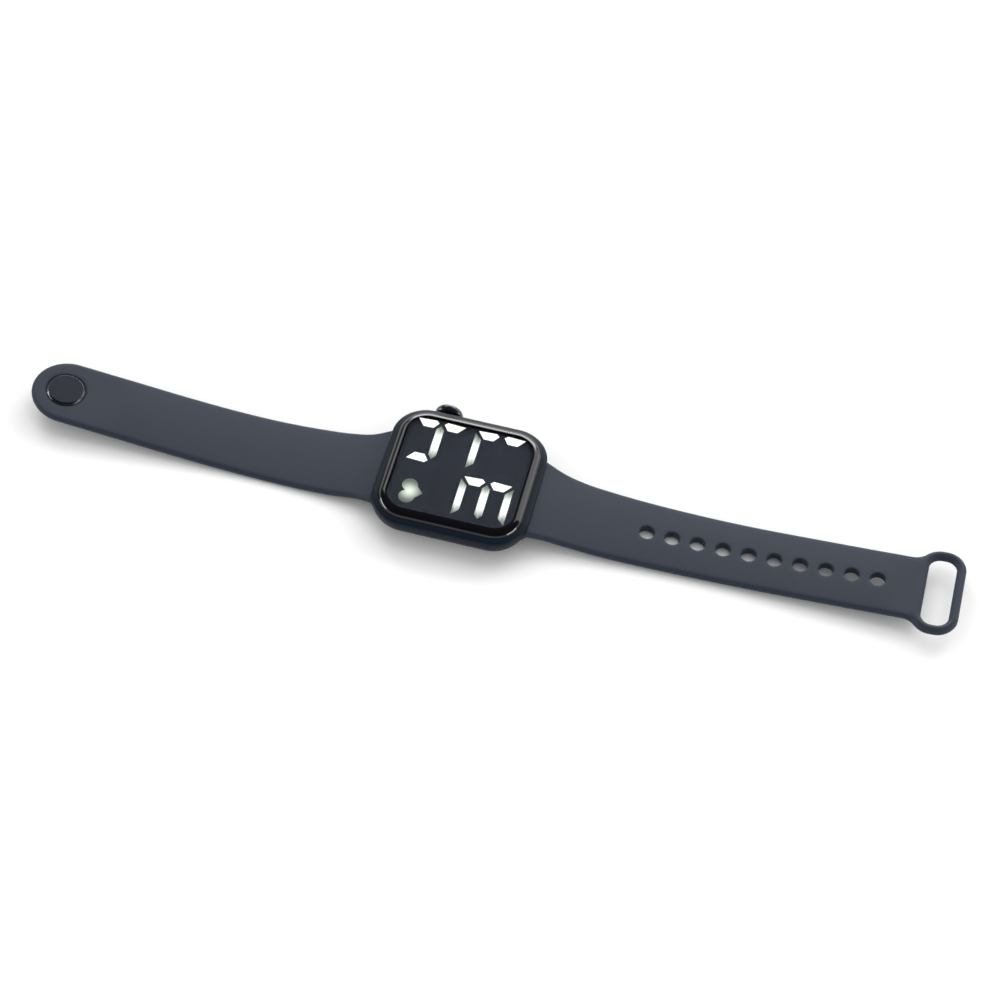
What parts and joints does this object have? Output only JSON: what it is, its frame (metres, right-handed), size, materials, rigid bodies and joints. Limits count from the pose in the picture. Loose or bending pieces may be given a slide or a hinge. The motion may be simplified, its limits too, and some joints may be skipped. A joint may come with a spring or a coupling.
{
  "type": "digital wristwatch",
  "caption": "Square digital wristwatch with a segment display under a curved lens, a push crown and a stud-fastened silicone band on spring bars.",
  "frame": {"origin": "middle of the back cover's flat underside", "axes": "+X along the half of the band with holes, +Y to the crown, +Z out of the display"},
  "size_m": [0.2536, 0.0431, 0.0106],
  "materials": {
    "case_plastic": "satin moulded ABS, dark slate",
    "lens_acrylic": "polished tinted acrylic",
    "black_tape": "matt foam tape",
    "mask_plastic": "matt dark grey moulding",
    "lit_diffuser": "milky, lit from behind",
    "dark_diffuser": "milky, unlit behind the tint",
    "heart_diffuser": "milky, softly lit",
    "led_package": "moulded LED packages",
    "board_laminate": "solder mask on glass fibre",
    "chip_resin": "black epoxy",
    "ceramic": "fired ceramic chips",
    "nickel": "nickel plated",
    "spring_steel": "bright spring steel",
    "holder_plastic": "natural grey nylon",
    "back_steel": "brushed stainless",
    "gasket_rubber": "nitrile",
    "insulator_film": "polyester film",
    "crown_metal": "dark gloss coating",
    "stem_steel": "turned stainless",
    "band_silicone": "matt silicone, dark slate blue",
    "stud_metal": "dark coating, glossy bevel"
  },
  "bodies": {
    "case": {"case_body": "case_plastic", "lens": "lens_acrylic", "lens_tape": "black_tape", "display_mask": "mask_plastic", "segments_lit": "lit_diffuser", "segments_dark": "dark_diffuser", "heart_icon": "heart_diffuser", "display_leds": "led_package", "main_board": "board_laminate", "controller_chip": "chip_resin", "crystal": "nickel", "resistors": "ceramic", "capacitors": "ceramic", "tact_switch": "chip_resin", "coin_cell": "nickel", "battery_clip": "spring_steel", "negative_contact": "spring_steel", "battery_holder": "holder_plastic", "back_cover": "back_steel", "back_screws": "stem_steel", "back_gasket": "gasket_rubber", "insulator_disc": "insulator_film", "crown_sleeve": "stem_steel", "crown_oring": "gasket_rubber", "crown_spring": "spring_steel", "hole_bar_tube": "stem_steel", "hole_bar_spring": "spring_steel", "stud_bar_tube": "stem_steel", "stud_bar_spring": "spring_steel"},
    "crown": {"crown_cap": "crown_metal", "crown_stem": "stem_steel", "crown_clip": "spring_steel"},
    "switch_plunger": {"switch_plunger": "nickel"},
    "stud_half": {"strap_stud": "band_silicone", "stud_cap": "stud_metal", "stud_peg": "stud_metal"},
    "hole_half": {"strap_holes": "band_silicone"},
    "hole_bar_tip_crown_side": {"hole_bar_tip_crown_side": "stem_steel"},
    "hole_bar_tip_far_side": {"hole_bar_tip_far_side": "stem_steel"},
    "stud_bar_tip_crown_side": {"stud_bar_tip_crown_side": "stem_steel"},
    "stud_bar_tip_far_side": {"stud_bar_tip_far_side": "stem_steel"}
  },
  "joints": [
    {"name": "stud_half_hinge", "type": "hinge", "parent": "case", "child": "stud_half", "pos_m": [-0.0179, 0, 0.0047], "axis": [0, -1, 0], "range_deg": [-3, 70]},
    {"name": "hole_half_hinge", "type": "hinge", "parent": "case", "child": "hole_half", "pos_m": [0.0179, 0, 0.0047], "axis": [0, 1, 0], "range_deg": [-3, 70]},
    {"name": "crown_push", "type": "slide", "parent": "case", "child": "crown", "axis": [0, -1, 0], "range_m": [0, 0.0005], "stiffness_N_per_m": 800, "springref_m": -0.0006, "deforming": ["crown_spring"]},
    {"name": "switch_click", "type": "slide", "parent": "case", "child": "switch_plunger", "axis": [0, -1, 0], "range_m": [0, 0.0005]},
    {"name": "hole_bar_tip_crown_side_push", "type": "slide", "parent": "case", "child": "hole_bar_tip_crown_side", "axis": [0, -1, 0], "range_m": [0, 0.0012], "stiffness_N_per_m": 700, "springref_m": -0.002, "deforming": ["hole_bar_spring"]},
    {"name": "hole_bar_tip_far_side_push", "type": "slide", "parent": "case", "child": "hole_bar_tip_far_side", "axis": [0, 1, 0], "range_m": [0, 0.0012], "stiffness_N_per_m": 700, "springref_m": -0.002},
    {"name": "stud_bar_tip_crown_side_push", "type": "slide", "parent": "case", "child": "stud_bar_tip_crown_side", "axis": [0, -1, 0], "range_m": [0, 0.0012], "stiffness_N_per_m": 700, "springref_m": -0.002, "deforming": ["stud_bar_spring"]},
    {"name": "stud_bar_tip_far_side_push", "type": "slide", "parent": "case", "child": "stud_bar_tip_far_side", "axis": [0, 1, 0], "range_m": [0, 0.0012], "stiffness_N_per_m": 700, "springref_m": -0.002}
  ],
  "couplings": [
    {"joint": "switch_click", "follows": "crown_push", "ratio": 1}
  ]
}
